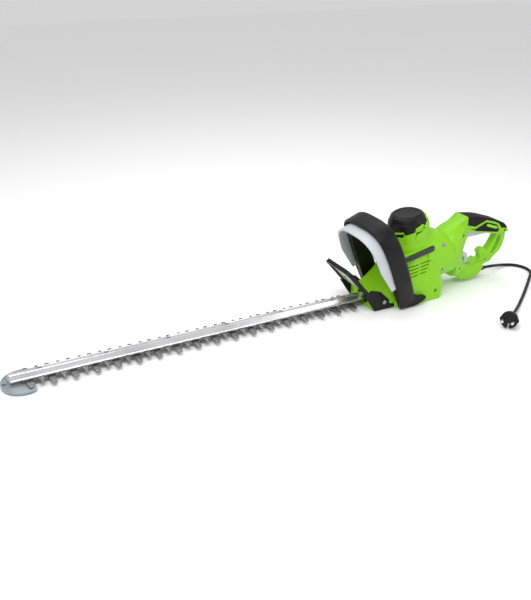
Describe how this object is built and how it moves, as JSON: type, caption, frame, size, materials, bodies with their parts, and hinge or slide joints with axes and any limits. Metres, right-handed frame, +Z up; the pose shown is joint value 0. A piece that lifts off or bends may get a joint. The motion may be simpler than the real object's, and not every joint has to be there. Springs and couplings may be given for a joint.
{
  "type": "hedge trimmer",
  "caption": "Corded electric hedge trimmer: double-sided blade bar with tip guard, hand guard, bail front handle and a swivelling rear handle.",
  "frame": {"origin": "centre of the flat base under the drive gear, on the floor plane", "axes": "+X along the blade towards the rear handle, +Y to the operator's right, +Z up"},
  "size_m": [1.1688, 0.3245, 0.1918],
  "materials": {
    "green_shell": "semi-gloss moulded",
    "black_shell": "satin moulded",
    "plate": "glossy",
    "grey_shell": "fine texture",
    "smoke_window": "translucent",
    "soft_grip": "matte",
    "switch_body": "matte",
    "blade_steel": "ground",
    "bar_alloy": "extruded",
    "guard_alloy": "satin",
    "fastener": "plated",
    "gear_steel": "machined",
    "cast_alloy": "die cast",
    "core_steel": "laminated",
    "copper": "turned",
    "brass": "bright",
    "carbon": "matte",
    "fan_plastic": "moulded",
    "cord_rubber": "matte",
    "pin_brass": "nickel plated"
  },
  "bodies": {
    "housing": {"housing_left": "green_shell", "housing_right": "green_shell", "motor_cap": "black_shell", "brand_plate": "plate", "front_handle": "black_shell", "handle_spacers": "black_shell", "guard_frame": "black_shell", "guard_window": "smoke_window", "blade_bar": "bar_alloy", "tip_guard": "guard_alloy", "blade_bolts": "fastener", "housing_screws": "fastener", "handle_screws": "fastener", "guard_screws": "fastener", "gearbox_screws": "fastener", "gear_shaft": "gear_steel", "lower_bearing": "gear_steel", "upper_bearing": "gear_steel", "gearbox_base": "cast_alloy", "gearbox_cover": "cast_alloy", "stator": "core_steel", "field_windings": "copper", "brush_holders": "brass", "carbon_brushes": "carbon"},
    "lower_blade_set": {"lower_blade": "blade_steel"},
    "upper_blade_set": {"upper_blade": "blade_steel"},
    "gear": {"drive_gear": "gear_steel"},
    "rotor": {"armature_shaft": "gear_steel", "armature_core": "core_steel", "commutator": "copper", "cooling_fan": "fan_plastic"},
    "front_lever": {"front_switch_lever": "grey_shell"},
    "rear_handle": {"rear_handle_left": "green_shell", "rear_handle_right": "green_shell", "rear_handle_screws": "fastener", "trigger_pin": "fastener", "trigger_switch": "switch_body", "trigger_spring": "fastener", "grip_overmould": "soft_grip", "lower_grip_pads": "soft_grip", "cord_bushing": "cord_rubber", "cord": "cord_rubber", "plug_body": "cord_rubber", "plug_pins": "pin_brass"},
    "trigger": {"trigger": "grey_shell"},
    "lock_lever": {"lock_lever": "grey_shell"}
  },
  "joints": [
    {"name": "lower_blade_slide", "type": "slide", "parent": "housing", "child": "lower_blade_set", "axis": [1, 0, 0], "range_m": [-0.008, 0.008]},
    {"name": "upper_blade_slide", "type": "slide", "parent": "housing", "child": "upper_blade_set", "axis": [1, 0, 0], "range_m": [-0.008, 0.008]},
    {"name": "gear_spin", "type": "hinge", "parent": "housing", "child": "gear", "pos_m": [0, 0, 0.02], "axis": [0, 0, 1], "continuous": true},
    {"name": "rotor_spin", "type": "hinge", "parent": "housing", "child": "rotor", "pos_m": [0.0215, 0, 0.1844], "axis": [-0.1478, 0, 0.989], "continuous": true},
    {"name": "front_lever_squeeze", "type": "hinge", "parent": "housing", "child": "front_lever", "pos_m": [-0.0449, 0, 0.0606], "axis": [0, 1, 0], "range_deg": [0, 3], "stiffness_Nm_per_rad": 20, "springref_deg": -2.86},
    {"name": "rear_handle_swivel", "type": "hinge", "parent": "housing", "child": "rear_handle", "pos_m": [0.126, 0, 0.08], "axis": [0.9744, 0, 0.225], "range_deg": [-90, 90]},
    {"name": "trigger_squeeze", "type": "hinge", "parent": "rear_handle", "child": "trigger", "pos_m": [0.262, 0, 0.116], "axis": [0, 1, 0], "range_deg": [0, 5], "stiffness_Nm_per_rad": 2, "springref_deg": -2.86, "deforming": ["trigger_spring"]},
    {"name": "lock_pull", "type": "slide", "parent": "rear_handle", "child": "lock_lever", "axis": [0.9744, 0, 0.225], "range_m": [0, 0.006], "stiffness_N_per_m": 600, "springref_m": -0.002}
  ],
  "couplings": [
    {"joint": "upper_blade_slide", "follows": "lower_blade_slide", "ratio": -1},
    {"joint": "rotor_spin", "follows": "gear_spin", "ratio": -5}
  ]
}
